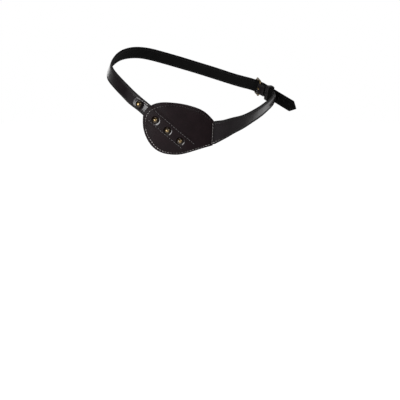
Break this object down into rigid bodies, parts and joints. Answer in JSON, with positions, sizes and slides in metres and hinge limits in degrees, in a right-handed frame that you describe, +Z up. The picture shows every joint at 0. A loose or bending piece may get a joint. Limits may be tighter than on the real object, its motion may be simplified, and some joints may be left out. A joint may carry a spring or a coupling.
{
  "type": "eye patch",
  "caption": "Black leather eye patch: domed stitched oval with a raised band and brass dome studs, on a diagonal strap loop that closes with a roller buckle and keeper at the back.",
  "frame": {"origin": "centre of the head that the strap loop goes round, about level with the wearer's eyebrows", "axes": "+Z up, the wearer faces -Y, +X is the wearer's left (the covered eye's side)"},
  "size_m": [0.1582, 0.2143, 0.1017],
  "materials": {
    "patch_leather": "matt fine grain, near black",
    "strap_leather": "smooth black, satin sheen",
    "backing": "matt black flesh side",
    "lining": "soft brushed black",
    "stiffener_board": "raw bonded leather board",
    "antique_brass": "antique, darkened in the recesses",
    "rivet_metal": "plain plated rivet metal",
    "thread": "dark grey waxed thread"
  },
  "bodies": {
    "headband": {"patch_cover": "patch_leather", "patch_stiffener": "stiffener_board", "patch_lining": "lining", "brow_strap": "strap_leather", "brow_strap_backing": "backing", "temple_strap": "strap_leather", "temple_strap_backing": "backing", "stud_cap_1": "antique_brass", "stud_cap_2": "antique_brass", "stud_cap_3": "antique_brass", "stud_cap_brow": "antique_brass", "rivet_post_1": "rivet_metal", "rivet_post_2": "rivet_metal", "rivet_post_3": "rivet_metal", "rivet_post_brow": "rivet_metal", "rim_thread": "thread", "temple_seam_thread": "thread", "band_thread_upper": "thread", "band_thread_lower": "thread"},
    "buckle": {"buckle_frame": "antique_brass"},
    "prong": {"buckle_prong": "antique_brass"},
    "roller": {"buckle_roller": "antique_brass"},
    "keeper": {"strap_keeper": "strap_leather"},
    "tail": {"strap_tail": "strap_leather", "strap_tail_backing": "backing"}
  },
  "joints": [
    {"name": "buckle_swing", "type": "hinge", "parent": "headband", "child": "buckle", "pos_m": [0.02807, 0.09655, 0.00132], "axis": [-0.2496, 0.1424, -0.9578], "range_deg": [0, 25]},
    {"name": "prong_swing", "type": "hinge", "parent": "buckle", "child": "prong", "pos_m": [0.02807, 0.09655, 0.00132], "axis": [-0.2496, 0.1424, -0.9578], "range_deg": [0, 50]},
    {"name": "roller_spin", "type": "hinge", "parent": "buckle", "child": "roller", "pos_m": [0.01941, 0.10552, 0.00491], "axis": [0.2496, -0.1424, 0.9578], "continuous": true},
    {"name": "keeper_slide", "type": "slide", "parent": "headband", "child": "keeper", "axis": [0.8318, -0.4748, -0.2873], "range_m": [-0.002, 0.003]},
    {"name": "tail_flex", "type": "hinge", "parent": "headband", "child": "tail", "pos_m": [0.04919, 0.0891, -0.00529], "axis": [0.2496, -0.1424, 0.9578], "range_deg": [-10, 40], "stiffness_Nm_per_rad": 0.006}
  ]
}
